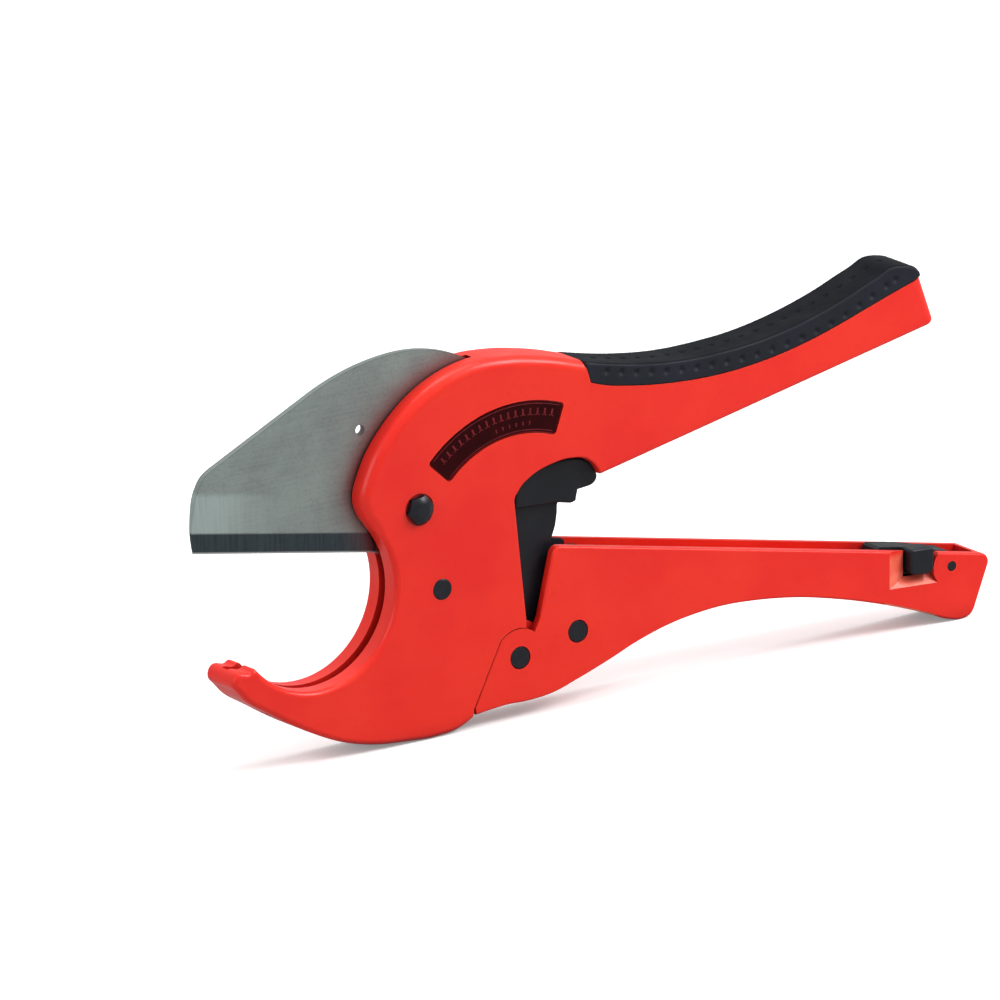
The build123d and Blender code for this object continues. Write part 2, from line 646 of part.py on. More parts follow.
def release_lever():
    tab = face_of(path(TAB_FOOT, TAB_TOP[0]),
                  flow(TAB_TOP, start=(0.05, 1.0), end=(-1.0, -0.2)),
                  path(TAB_TOP[-1], *TAB_UNDER, TAB_FOOT))
    near, far = [fuse(*pieces) for pieces in zip(
        both(polygon(ARM), PLATE_IN, PLATE_OUT),
        both(disc(HANDLE_PIVOT, LEVER_HUB_R), PLATE_IN, PLATE_OUT),
        both(tab, PLATE_IN, TAB_OUT))]
    shape = fuse(near, slab(polygon(BEAK), PLATE_IN + 0.05), far)
    shape = cut(shape, bore(HANDLE_PIVOT, PIN_R + RUN),
                *[slab(disc(c, RIVET_R + PRESS), PLATE_OUT) for c in RIVETS])

    def tab_rim(edge):
        return on_face(edge, TAB_OUT) and edge.bounding_box().size.length > 4.0
    return soften(shape, tab_rim, [1.2, 0.8, 0.5])


def holding_pawl():
    outline = [turn(p, HANDLE_PIVOT, -SEAT_DEG) for p in SEATED_PAWL]
    return cut(slab(polygon(outline), 2.62), *[bore(c, RIVET_R + PRESS) for c in RIVETS])


def holding_pawl_rivets():
    return Compound(children=[slab(disc(c, RIVET_R), PLATE_OUT - 0.05) for c in RIVETS])


# ------------------------------------------------------------------ drive pawl --
PAWL_HUB_R = 7.8
PAWL_T = 2.4                  # half-thickness
PAWL_TIP = on_blade(TOOTH_TIP + 0.35, -24.0)
SPACER_R = 6.4


def drive_pawl():
    x, z = PAWL_TIP
    rear = [(x + 4.6, z - 3.4), (x + 7.0, z - 8.0), (24.0, 24.0),
            polar(DRIVE_PIN, PAWL_HUB_R, 20.0)]
    front = [polar(DRIVE_PIN, PAWL_HUB_R, 175.0), (14.6, 24.0), PAWL_TIP]
    outline = face_of(path(PAWL_TIP, rear[0]),
                      flow(rear, end=(0.342, -0.94)),
                      arc(rear[-1], polar(DRIVE_PIN, PAWL_HUB_R, 280.0), front[0]),
                      flow(front, start=(0.087, 1.0)))
    return cut(slab(outline, PAWL_T), bore(DRIVE_PIN, PIN_R + RUN))


def drive_pawl_spacers():
    blanks = both(disc(DRIVE_PIN, SPACER_R), PAWL_T + 0.05, HANDLE_IN - 0.05)
    return Compound(children=[cut(b, bore(DRIVE_PIN, PIN_R + 0.03)) for b in blanks])


# --------------------------------------------------------------------- springs --
def coil(centre, radius, wire, turns, y_start, start_deg, legs):
    """A torsion spring about an axis along Y: close turns and two straight legs."""
    pitch = wire + 0.12
    helix = Edge.make_helix(pitch=pitch, height=pitch * turns, radius=radius)
    # the helix axis goes from Z to Y, and its start from X to start_deg
    x, z = polar((0, 0), 1.0, start_deg)
    helix = helix.moved(Location(Plane(origin=(centre[0], y_start, centre[1]),
                                       x_dir=(x, 0, z), z_dir=(0, 1, 0))))
    start, end = helix.position_at(0), helix.position_at(1)
    start_dir, end_dir = helix.tangent_at(0), helix.tangent_at(1)
    section = Face(Wire([Edge.make_circle(wire / 2, Plane(origin=start, z_dir=start_dir))]))
    shape = sweep(section, path=helix).solid()
    for origin, z_dir, length in ((start, -start_dir, legs[0]), (end, end_dir, legs[1])):
        leg = Solid.make_cylinder(wire / 2, length, Plane(origin=origin, z_dir=z_dir))
        shape = largest(shape.fuse(leg))
    return shape


def handle_opening_spring():
    return coil(HANDLE_PIVOT, radius=5.7, wire=1.0, turns=1.25, y_start=0.62,
                start_deg=250.0, legs=(6.0, 1.8))


def release_lever_spring():
    return coil(HANDLE_PIVOT, radius=5.6, wire=0.8, turns=1.75, y_start=-2.2,
                start_deg=170.0, legs=(2.2, 3.0))


def drive_pawl_spring():
    return coil(DRIVE_PIN, radius=7.1, wire=0.8, turns=2.25, y_start=3.3,
                start_deg=40.0, legs=(3.0, 3.0))


def latch_spring():
    return coil(LATCH_PIN, radius=2.7, wire=0.6, turns=1.25, y_start=5.62,
                start_deg=200.0, legs=(6.0, 3.0))


# ----------------------------------------------------------------------- latch --
LATCH_DEG = 170.0             # direction in which the latch lies from its pin
# outline from the pin: distance along the latch, height above its centre line
LATCH = [(0.0, 4.8), (12.0, 5.4), (22.0, 5.4), (30.4, 4.9), (31.6, 3.9), (31.9, -0.4),
         (33.0, -2.4), (35.6, -2.6), (37.2, -0.6), (37.2, 1.2), (38.2, 1.6), (39.6, 0.4),
         (39.8, -4.0), (37.0, -7.4), (28.0, -8.2), (14.0, -6.0), (0.0, -4.8)]
LATCH_T = 5.2                 # half-thickness
LATCH_HUB_R = 5.0
THUMB = [(174.7, 9.4), (185.3, 9.4), (185.3, 19.6), (174.7, 19.6)]


def handle_latch():
    outline = [polar(polar(LATCH_PIN, along, LATCH_DEG), above, LATCH_DEG - 90)
               for along, above in LATCH]
    shape = fuse(slab(polygon(outline), LATCH_T), slab(disc(LATCH_PIN, LATCH_HUB_R), LATCH_T))
    # thumb block standing out through the scoop: small upper corners, large lower ones
    thumb = prism(polygon(THUMB), -HALF_T - 1.6, -LATCH_T + 0.2)
    thumb = thumb.fillet(1.4, [e for e in cross_edges(thumb, 5) if e.center().Z > 15])
    thumb = thumb.fillet(2.6, [e for e in cross_edges(thumb, 5) if e.center().Z < 10])
    shape = cut(fuse(shape, thumb), bore(LATCH_PIN, LATCH_PIN_R + RUN))
    return soften(shape, nearer_than(-HALF_T - 1.5), [1.0, 0.6])


# ------------------------------------------------------------ place and export --
# each file takes the name of the function that builds the piece
PIECES = [
    body, grip_pad, name_plate, blade, blade_pivot_bolt, blade_pivot_nut,
    blade_pivot_sleeve, blade_thrust_washers, blade_stop_pin, lower_handle,
    handle_pivot_pin, handle_opening_spring, handle_buffers, release_lever,
    release_lever_spring, holding_pawl, holding_pawl_rivets, drive_pawl, drive_pawl_pin,
    drive_pawl_spacers, drive_pawl_spring, handle_latch, latch_pin, latch_spring,
]

os.makedirs("parts", exist_ok=True)
to_seat = Location((-SEAT[0], 0, -SEAT[1]))
tip = Location((0, 0, 0), (0, TIP_DEG, 0))
for piece in PIECES:
    placed = piece().moved(to_seat).moved(tip)
    placed.label = piece.__name__
    export_step(placed, os.path.join("parts", piece.__name__ + ".step"))
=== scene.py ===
"""A ratchet hand cutter: a red casting with a rubber grip, a swinging blade and a lower handle.

The cutter stands in the XZ plane, its thickness along Y and +Z up. The grip and the blade's
cutting line are measured from their low-X ends. The -Y side, called near, faces the camera.
Everything is in metres; lengths given in millimetres are multiplied by MM.
"""
import json
import math

import bmesh
import bpy
import numpy as np
from mathutils import Matrix, Vector
from mathutils.bvhtree import BVHTree


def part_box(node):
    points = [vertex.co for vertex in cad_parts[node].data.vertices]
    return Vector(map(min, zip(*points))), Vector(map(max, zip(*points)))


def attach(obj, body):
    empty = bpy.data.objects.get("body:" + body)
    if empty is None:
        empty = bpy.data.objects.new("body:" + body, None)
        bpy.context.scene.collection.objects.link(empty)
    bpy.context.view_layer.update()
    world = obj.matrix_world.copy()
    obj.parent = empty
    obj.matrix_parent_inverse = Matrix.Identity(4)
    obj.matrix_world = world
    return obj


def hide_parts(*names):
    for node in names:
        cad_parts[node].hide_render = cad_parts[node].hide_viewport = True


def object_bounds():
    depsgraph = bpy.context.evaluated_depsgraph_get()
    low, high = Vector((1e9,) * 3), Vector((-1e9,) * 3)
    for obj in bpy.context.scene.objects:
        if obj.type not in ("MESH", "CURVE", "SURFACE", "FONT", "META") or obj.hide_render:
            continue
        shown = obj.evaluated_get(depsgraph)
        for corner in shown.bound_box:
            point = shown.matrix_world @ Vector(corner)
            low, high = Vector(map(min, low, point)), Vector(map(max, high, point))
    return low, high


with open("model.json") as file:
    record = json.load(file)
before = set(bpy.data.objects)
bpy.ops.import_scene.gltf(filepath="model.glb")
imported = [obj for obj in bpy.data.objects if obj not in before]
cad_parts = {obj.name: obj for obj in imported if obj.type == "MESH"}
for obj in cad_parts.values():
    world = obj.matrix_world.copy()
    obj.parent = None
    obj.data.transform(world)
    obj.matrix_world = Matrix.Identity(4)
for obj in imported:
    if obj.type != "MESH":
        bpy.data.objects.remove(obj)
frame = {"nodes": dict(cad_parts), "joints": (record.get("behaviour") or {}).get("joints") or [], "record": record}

MM = 0.001
TILT = math.radians(3.78)     # lean of the whole cutter, clockwise seen from the near side

scene = bpy.context.scene
nodes = frame["nodes"]
joints = {joint["name"]: Vector(joint["pos_m"]) for joint in frame["joints"]}
BLADE_PIVOT = joints["blade_swing"]
HANDLE_PIVOT = joints["handle_squeeze"]
LATCH_PIVOT = joints["handle_latch_swing"]
cad_low, cad_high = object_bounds()


def lean(x, z):
    """A direction of the level cutter, turned to the way it stands."""
    cos, sin = math.cos(TILT), math.sin(TILT)
    return (x * cos + z * sin, -x * sin + z * cos)


def add_object(name, data):
    ob = bpy.data.objects.new(name, data)
    scene.collection.objects.link(ob)
    return ob


# ------------------------------------------------------------ shader helpers --
class Shader:
    """Short calls for the nodes of one tree. Inputs take a value or another node's socket."""

    def __init__(self, tree):
        self.tree = tree
        self.coords = self.add("TexCoord").outputs

    def add(self, kind):
        return self.tree.nodes.new("ShaderNode" + kind)

    def put(self, socket, value):
        if isinstance(value, bpy.types.NodeSocket):
            self.tree.links.new(value, socket)
        elif isinstance(value, (tuple, list)) and len(value) == 3 and socket.type == "RGBA":
            socket.default_value = (*value, 1.0)
        else:
            socket.default_value = value

    def calc(self, operation, first, second=0.0, clamp=False):
        node = self.add("Math")
        node.operation = operation
        node.use_clamp = clamp
        for socket, value in zip(node.inputs, (first, second, 0.0)):
            self.put(socket, value)
        return node.outputs[0]

    def subtract(self, first, second):
        return self.calc("SUBTRACT", first, second)

    def multiply(self, product, *factors):
        for factor in factors:
            product = self.calc("MULTIPLY", product, factor)
        return product

    def mix(self, factor, first, second):
        node = self.add("Mix")
        node.data_type = "RGBA"
        node.clamp_factor = True
        self.put(node.inputs[0], factor)
        self.put(node.inputs[6], first)
        self.put(node.inputs[7], second)
        return node.outputs[2]

    def split(self, vector):
        node = self.add("SeparateXYZ")
        self.put(node.inputs[0], vector)
        return node.outputs[0], node.outputs[1], node.outputs[2]


class Material(Shader):
    """A principled material. Textures use object coordinates, in metres."""

    def __init__(self, name, metallic=0.0):
        self.material = bpy.data.materials.new(name)
        self.material.use_nodes = True
        self.material.node_tree.nodes.clear()
        super().__init__(self.material.node_tree)
        output = self.add("OutputMaterial")
        self.principled = self.add("BsdfPrincipled")
        self.put(output.inputs[0], self.principled.outputs[0])
        self.principled.inputs["Metallic"].default_value = metallic

    def finish(self, **inputs):
        """Fill the principled inputs, their spaces written as underscores."""
        for name, value in inputs.items():
            self.put(self.principled.inputs[name.replace("_", " ")], value)
        return self.material

    def step(self, value, span, out=(0.0, 1.0)):
        """Smooth step: value running over span becomes a number running over out."""
        node = self.add("MapRange")
        node.interpolation_type = "SMOOTHSTEP"
        for socket, item in zip(node.inputs, (value, *span, *out)):
            self.put(socket, item)
        return node.outputs[0]

    def tint(self, base, colour, mask, span=None, amount=1.0):
        """Base turned towards colour, by amount at most, where the mask (over span) is high."""
        if span:
            factor = self.step(mask, span, (0.0, amount))
        else:
            factor = self.multiply(mask, amount)
        return self.mix(factor, base, colour)

    def noise(self, scale, detail=4.0, rough=0.6, coords=None):
        node = self.add("TexNoise")
        node.inputs["Scale"].default_value = scale
        node.inputs["Detail"].default_value = detail
        node.inputs["Roughness"].default_value = rough
        self.put(node.inputs["Vector"], coords or self.coords["Object"])
        return node.outputs["Fac"]

    def cells(self, scale):
        node = self.add("TexVoronoi")
        node.inputs["Scale"].default_value = scale
        self.put(node.inputs["Vector"], self.coords["Object"])
        return node.outputs["Distance"]

    def stretched(self, turn, scale):
        """Coordinates turned about Y and scaled, for brushed grain."""
        node = self.add("Mapping")
        node.inputs["Rotation"].default_value = (0, turn, 0)
        node.inputs["Scale"].default_value = scale
        self.put(node.inputs["Vector"], self.coords["Object"])
        return node.outputs[0]

    def bump(self, height, distance, strength, normal=None):
        node = self.add("Bump")
        node.inputs["Strength"].default_value = strength
        node.inputs["Distance"].default_value = distance
        self.put(node.inputs["Height"], height)
        if normal is not None:
            self.put(node.inputs["Normal"], normal)
        return node.outputs[0]

    def geometry(self, output):
        return self.add("NewGeometry").outputs[output]

    def edges(self, radius, gain):
        """1 along convex and concave edges within radius of them, 0 on open faces."""
        bevel = self.add("Bevel")
        bevel.samples = 3
        bevel.inputs["Radius"].default_value = radius
        dot = self.add("VectorMath")
        dot.operation = "DOT_PRODUCT"
        self.put(dot.inputs[0], bevel.outputs[0])
        self.put(dot.inputs[1], self.geometry("True Normal"))
        turned = self.subtract(1.0, dot.outputs["Value"])
        return self.calc("MULTIPLY", turned, gain, clamp=True)

    def worn(self, base, colour, amount, radius, gain, scale, span, detail=4.0):
        """Colour on the edges, broken up by a noise of this scale, detail and span."""
        broken = self.step(self.noise(scale, detail=detail), span)
        return self.tint(base, colour, self.multiply(self.edges(radius, gain), broken),
                         amount=amount)

    def corners(self, reach):
        """1 deep in a corner, 0 in the open: the mask used for painted shade and reflection."""
        node = self.add("AmbientOcclusion")
        node.samples = 3
        node.inputs["Distance"].default_value = reach
        return self.subtract(1.0, node.outputs["AO"])

    def run_along(self, x, z, origin, direction):
        """Distance from origin along a direction, both given as (x, z)."""
        return self.calc(
            "ADD",
            self.multiply(self.subtract(x, float(origin[0])), float(direction[0])),
            self.multiply(self.subtract(z, float(origin[1])), float(direction[1])))


# ----------------------------------------------------------------- materials --
def latch_scoop(m):
    """1 on the slanting near-side faces of the scoop beside the latch."""
    x, y, z = m.split(m.coords["Object"])
    normal_y = m.split(m.geometry("True Normal"))[1]
    slanting = m.step(m.calc("ABSOLUTE", normal_y), (0.97, 0.93))
    in_x = m.multiply(
        m.step(x, (LATCH_PIVOT.x - 0.0315, LATCH_PIVOT.x - 0.0300)),
        m.step(x, (LATCH_PIVOT.x - 0.0085, LATCH_PIVOT.x - 0.0075), out=(1.0, 0.0)))
    in_yz = m.multiply(
        m.step(y, (-0.0068, -0.0072)),
        m.step(z, (LATCH_PIVOT.z + 0.0070, LATCH_PIVOT.z + 0.0105), out=(1.0, 0.0)))
    return slanting, m.multiply(in_x, in_yz)


def painted_casting():
    m = Material("cast_red_paint")
    base = m.tint((0.84, 0.026, 0.012), (0.79, 0.016, 0.010),
                  m.noise(scale=22.0, detail=3.0, rough=0.55), span=(0.35, 0.68))
    base = m.tint(base, (0.68, 0.012, 0.009), m.noise(scale=420.0, detail=2.0, rough=0.5),
                  span=(0.55, 0.8), amount=0.22)
    # thinner, lighter paint on the edges
    base = m.worn(base, (0.95, 0.15, 0.06), amount=0.45, radius=0.0007, gain=3.0,
                  scale=260.0, span=(0.38, 0.62))
    # the scoop's slanting faces painted paler: a painted highlight where light falls on the bevels
    scoop_highlight_patches = m.step(m.noise(scale=160.0, detail=3.0), (0.3, 0.7), out=(0.45, 0.75))
    base = m.mix(m.multiply(*latch_scoop(m), scoop_highlight_patches), base, (0.95, 0.24, 0.14))
    # painted shade, darkening the corners and the inside of the handle channel
    base = m.tint(base, (0.26, 0.005, 0.007), m.corners(reach=0.010),
                  span=(0.22, 0.80), amount=0.80)
    cast_skin = m.bump(m.noise(scale=95.0, detail=2.0, rough=0.45),
                       distance=0.00012, strength=0.55)
    orange_peel = m.bump(m.noise(scale=650.0, detail=2.0, rough=0.5),
                         distance=0.000022, strength=0.7, normal=cast_skin)
    rough = m.step(m.noise(scale=70.0), (0.3, 0.75), out=(0.30, 0.44))
    return m.finish(Base_Color=base, Roughness=rough, Normal=orange_peel, Coat_Weight=0.12,
                    Coat_Roughness=0.18, Specular_IOR_Level=0.26)


def grip_rubber():
    m = Material("grip_rubber")
    base = m.tint((0.0075, 0.0105, 0.0180), (0.0048, 0.0070, 0.0125),
                  m.noise(scale=60.0), span=(0.3, 0.75))
    base = m.worn(base, (0.028, 0.034, 0.044), amount=0.55, radius=0.0009, gain=2.5,
                  scale=180.0, detail=3.0, span=(0.35, 0.6))
    # painted shade in the dimples and creases
    base = m.tint(base, (0.003, 0.004, 0.005), m.corners(reach=0.0022),
                  span=(0.15, 0.8), amount=0.75)
    # painted shade: faces turned upwards are darkened, and their specular is lowered as for a matter moulding
    crown = m.step(m.split(m.geometry("Normal"))[2], (0.35, 0.80))
    base = m.tint(base, (0.0030, 0.0040, 0.0058), crown, amount=0.75)
    specular = m.subtract(0.27, m.multiply(crown, 0.19))
    grain = m.bump(m.cells(scale=2100.0), distance=0.00006, strength=0.55)
    normal = m.bump(m.noise(scale=300.0, detail=3.0, rough=0.5),
                    distance=0.00005, strength=0.5, normal=grain)
    rough = m.step(m.noise(scale=90.0, detail=3.0, rough=0.55), (0.3, 0.7), out=(0.50, 0.64))
    return m.finish(Base_Color=base, Roughness=rough, Normal=normal,
                    Specular_IOR_Level=specular)


def black_moulding(name, tone, rough):
    """Hard black plastic; rough is the range of its roughness."""
    m = Material(name)
    base = m.tint(tone, tuple(v * 0.62 for v in tone), m.noise(scale=75.0), span=(0.3, 0.75))
    base = m.worn(base, (0.055, 0.060, 0.068), amount=0.55, radius=0.0006, gain=3.0,
                  scale=300.0, span=(0.4, 0.65))
    # painted shade in corners and recesses
    base = m.tint(base, (0.003, 0.0035, 0.004), m.corners(reach=0.003),
                  span=(0.2, 0.9), amount=0.6)
    normal = m.bump(m.noise(scale=900.0, detail=3.0), distance=0.00003, strength=0.6)
    return m.finish(Base_Color=base, Roughness=m.step(m.noise(scale=130.0), (0.3, 0.7), rough),
                    Normal=normal, Specular_IOR_Level=0.26)


def black_oxide():
    m = Material("black_oxide_steel", metallic=0.2)
    base = m.tint((0.0095, 0.0115, 0.0175), (0.0055, 0.0070, 0.0110),
                  m.noise(scale=210.0), span=(0.3, 0.75))
    base = m.worn(base, (0.10, 0.10, 0.11), amount=0.6, radius=0.0005, gain=3.5,
                  scale=500.0, span=(0.38, 0.62))
    normal = m.bump(m.noise(scale=1300.0, detail=3.0), distance=0.00002, strength=0.5)
    rough = m.step(m.noise(scale=260.0), (0.3, 0.7), out=(0.26, 0.40))
    return m.finish(Base_Color=base, Roughness=rough, Normal=normal, Specular_IOR_Level=0.35)


def dull_steel(name, tone):
    m = Material(name, metallic=0.9)
    grain = m.noise(scale=40.0, coords=m.stretched(turn=0.4, scale=(1.0, 30.0, 22.0)))
    base = m.tint(tone, tuple(v * 0.6 for v in tone), grain, span=(0.3, 0.7))
    base = m.worn(base, (0.46, 0.46, 0.46), amount=0.8, radius=0.0004, gain=4.0,
                  scale=500.0, detail=3.0, span=(0.35, 0.6))
    normal = m.bump(m.noise(scale=800.0, detail=3.0), distance=0.00002, strength=0.5)
    return m.finish(Base_Color=base, Roughness=m.step(grain, (0.3, 0.7), out=(0.32, 0.5)),
                    Normal=normal)


def wire_steel():
    m = Material("spring_wire", metallic=0.95)
    base = m.tint((0.30, 0.29, 0.28), (0.16, 0.155, 0.15),
                  m.noise(scale=400.0, detail=3.0), span=(0.3, 0.7))
    drawn = m.noise(scale=60.0, detail=2.0, rough=0.5,
                    coords=m.stretched(turn=0.0, scale=(1.0, 60.0, 1.0)))
    rough = m.step(m.noise(scale=300.0, detail=3.0, rough=0.5), (0.3, 0.7), out=(0.25, 0.42))
    return m.finish(Base_Color=base, Roughness=rough,
                    Normal=m.bump(drawn, distance=0.00003, strength=0.5))


def cutting_line():
    """Low-X end and unit direction, as (x, z), of the line the blade's grinds follow."""
    verts = np.array([v.co for v in nodes["blade"].data.vertices], float)
    middle = verts[np.abs(verts[:, 1]) < 0.0002]
    if not len(middle):
        middle = verts
    foot = middle[np.argmin(middle[:, 0])][[0, 2]]
    heel = middle[np.argmax(middle[:, 0])][[0, 2]]
    direction = heel - foot
    return foot, direction / np.linalg.norm(direction)


def blade_steel():
    """Brushed sheet with a light first grind, a dark polished bevel and dark edges; the bevel's dark, a bright
    glint on the lip, and the red and the shade under the casting are painted light.
    """
    m = Material("blade_steel", metallic=0.92)
    foot, direction = cutting_line()
    x, _, z = m.split(m.coords["Object"])
    height = m.run_along(x, z, foot, (-direction[1], direction[0]))
    length = m.run_along(x, z, foot, direction)
    angle = math.atan2(direction[1], direction[0])
    # grain across the cutting edge in the grind, along it and cloudy elsewhere
    across = m.noise(scale=30.0, detail=5.0, rough=0.62,
                     coords=m.stretched(turn=angle, scale=(26.0, 1.0, 1.2)))
    along = m.noise(scale=34.0, detail=5.0,
                    coords=m.stretched(turn=angle, scale=(1.0, 1.0, 24.0)))
    cloud = m.noise(scale=38.0)
    speck = m.noise(scale=900.0, detail=3.0)
    body = m.tint((0.322, 0.382, 0.358), (0.262, 0.300, 0.290), cloud, span=(0.28, 0.72))
    body = m.tint(body, (0.395, 0.425, 0.415), along, span=(0.35, 0.7), amount=0.35)
    body = m.tint(body, (0.14, 0.145, 0.145), speck, span=(0.45, 0.75), amount=0.25)
    # light band of the first grind, fading away from the foot
    band = m.multiply(
        m.step(height, (0.0078, 0.0086)),
        m.step(height, (0.0215, 0.0245), out=(1.0, 0.0)),
        m.step(length, (0.002, 0.042), out=(1.0, 0.0)),
        m.step(across, (0.25, 0.7), out=(0.55, 1.0)))
    body = m.tint(body, (0.455, 0.560, 0.535), band, amount=0.9)
    # the polished bevel painted dark, a painted reflection of dark surroundings; then a painted highlight, the
    # bright lip below it
    bevel = m.step(height, (0.0074, 0.0084), out=(1.0, 0.0))
    bevel_dark_reflection = m.tint((0.016, 0.027, 0.037), (0.036, 0.052, 0.064), across, span=(0.3, 0.7))
    body = m.tint(body, bevel_dark_reflection, bevel, amount=0.92)
    lip = m.step(height, (0.0003, 0.0009), out=(1.0, 0.0))
    body = m.tint(body, (0.55, 0.57, 0.57), lip, amount=0.8)
    upper_edges = m.multiply(m.edges(radius=0.0005, gain=4.0), m.step(height, (0.012, 0.02)))
    body = m.tint(body, (0.055, 0.055, 0.060), upper_edges, amount=0.8)
    # a painted red reflection of the casting, then painted shade, where the steel runs in under the casting
    under = m.corners(reach=0.012)
    body = m.tint(body, (0.20, 0.060, 0.070), under, span=(0.12, 0.55), amount=0.75)
    body = m.tint(body, (0.030, 0.006, 0.010), under, span=(0.45, 0.95), amount=0.85)
    brushed = m.bump(across, distance=0.00002, strength=0.45)
    normal = m.bump(speck, distance=0.000012, strength=0.5, normal=brushed)
    rough = m.step(cloud, (0.3, 0.7), out=(0.40, 0.52))
    return m.finish(Base_Color=body, Roughness=m.subtract(rough, m.multiply(bevel, 0.16)),
                    Normal=normal, Anisotropic=0.25)


def plate_lacquer():
    m = Material("plate_black")
    base = m.tint((0.022, 0.0012, 0.0020), (0.032, 0.0014, 0.0022),
                  m.noise(scale=140.0), span=(0.3, 0.75))
    base = m.worn(base, (0.20, 0.010, 0.012), amount=0.5, radius=0.0006, gain=3.0,
                  scale=400.0, span=(0.35, 0.6))
    normal = m.bump(m.noise(scale=700.0, detail=3.0, rough=0.55),
                    distance=0.00002, strength=0.4)
    rough = m.step(m.noise(scale=200.0, detail=3.0, rough=0.5), (0.3, 0.7), out=(0.50, 0.62))
    return m.finish(Base_Color=base, Roughness=rough, Normal=normal, Specular_IOR_Level=0.05)


def plate_ink():
    m = Material("plate_marks")
    base = m.tint((0.20, 0.012, 0.018), (0.10, 0.008, 0.012),
                  m.noise(scale=500.0), span=(0.3, 0.7))
    normal = m.bump(m.noise(scale=1500.0, detail=3.0, rough=0.55),
                    distance=0.00002, strength=0.4)
    rough = m.step(m.noise(scale=300.0, detail=3.0, rough=0.5), (0.3, 0.7), out=(0.4, 0.55))
    return m.finish(Base_Color=base, Roughness=rough, Normal=normal, Specular_IOR_Level=0.15)


SLOT_MATERIALS = {
    "cast_red": painted_casting(),
    "grip_rubber": grip_rubber(),
    "plate_black": plate_lacquer(),
    "blade_steel": blade_steel(),
    "black_steel": black_oxide(),
    "hard_steel": dull_steel("hard_steel", tone=(0.20, 0.20, 0.205)),
    "spring_steel": wire_steel(),
    "black_plastic": black_moulding("latch_black", tone=(0.0085, 0.0105, 0.0150),
                                    rough=(0.36, 0.5)),
}
LEVER = black_moulding("lever_black", tone=(0.0080, 0.0095, 0.0135), rough=(0.34, 0.48))
PAWL_STEEL = dull_steel("pawl_steel", tone=(0.055, 0.058, 0.062))
INK = plate_ink()
# pieces that differ from the rest of their slot
OWN_MATERIALS = {
    "release_lever": LEVER,
    "drive_pawl": PAWL_STEEL,
    "holding_pawl": PAWL_STEEL,
    "drive_pawl_spacers": PAWL_STEEL,
}

slots = {part["node"]: part["material_slot"] for part in frame["record"]["subparts"]}
for name, ob in nodes.items():
    ob.data.materials.clear()
    ob.data.materials.append(OWN_MATERIALS.get(name, SLOT_MATERIALS[slots[name]]))


# --------------------------------------------------------------- mesh pieces --
def new_piece(name, verts, faces, material, body, smooth=True):
    mesh = bpy.data.meshes.new(name)
    mesh.from_pydata([tuple(v) for v in verts], [], faces)
    mesh.update()
    for face in mesh.polygons:
        face.use_smooth = smooth
    mesh.materials.append(material)
    ob = add_object(name, mesh)
    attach(ob, body)
    return ob


def remeshed(node, voxel, rounds):
    """(vertices, faces) of a CAD node rebuilt as an even skin of small faces, edges eased."""
    source = add_object("tmp_" + node, nodes[node].data.copy())
    skin = source.modifiers.new("skin", "REMESH")
    skin.mode = "VOXEL"
    skin.voxel_size = voxel
    skin.use_smooth_shade = True
    ease = source.modifiers.new("ease", "SMOOTH")
    ease.factor = 0.5
    ease.iterations = rounds
    depsgraph = bpy.context.evaluated_depsgraph_get()
    mesh = bpy.data.meshes.new_from_object(source.evaluated_get(depsgraph))
    verts = np.zeros(len(mesh.vertices) * 3, np.float64)
    mesh.vertices.foreach_get("co", verts)
    faces = [tuple(face.vertices) for face in mesh.polygons]
    bpy.data.objects.remove(source)
    bpy.data.meshes.remove(mesh)
    return verts.reshape(-1, 3), faces


# The grip: rubber with a squarer shoulder than its CAD piece, and moulded dimples along both
# sides and along the top.
CAD_RADIUS = 4.0 * MM         # shoulder radius of the CAD piece
SHOULDER_RADIUS = 1.2 * MM
SHOULDER_BAND = 0.0009        # skin this far inside the old arc still moves with it
LINE_START, LINE_END = 0.0035, 0.0012    # trimmed off the top line at its low-X, high-X end
LINE_STEP = 0.001
DIMPLE_PITCH = 6.65 * MM
DIMPLE_START, DIMPLE_END = 7.4 * MM, 9.0 * MM    # clear of dimples at each end of the line
DIMPLE_HALF_LENGTH, DIMPLE_HALF_WIDTH = 1.65, 1.75    # mm, along and across the top line
SIDE_DEPTH, TOP_DEPTH = 0.85, 0.60    # mm
DIMPLE_REACH = 0.0016         # skin farther than this off the dimple's face stays put
grip_low, grip_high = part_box("grip_pad")
HALF_WIDTH = grip_high.y


def grip_top_line():
    """Points, unit tangents and outward normals, as (x, z), down the middle of the top."""
    mesh = nodes["grip_pad"].data
    tree = BVHTree.FromPolygons([v.co.copy() for v in mesh.vertices],
                                [tuple(face.vertices) for face in mesh.polygons])
    points = []
    x = grip_low.x + LINE_START
    while x < grip_high.x - LINE_END:
        hit = tree.ray_cast(Vector((x, 0, grip_high.z + 0.05)), Vector((0, 0, -1)))[0]
        if hit is not None:
            points.append((hit.x, hit.z))
        x += LINE_STEP
    points = np.array(points)
    tangents = np.gradient(points, axis=0)
    for _ in range(3):
        tangents[1:-1] = (tangents[:-2] + 2 * tangents[1:-1] + tangents[2:]) / 4
    tangents /= np.linalg.norm(tangents, axis=1)[:, None]
    return points, tangents, np.stack([-tangents[:, 1], tangents[:, 0]], 1)


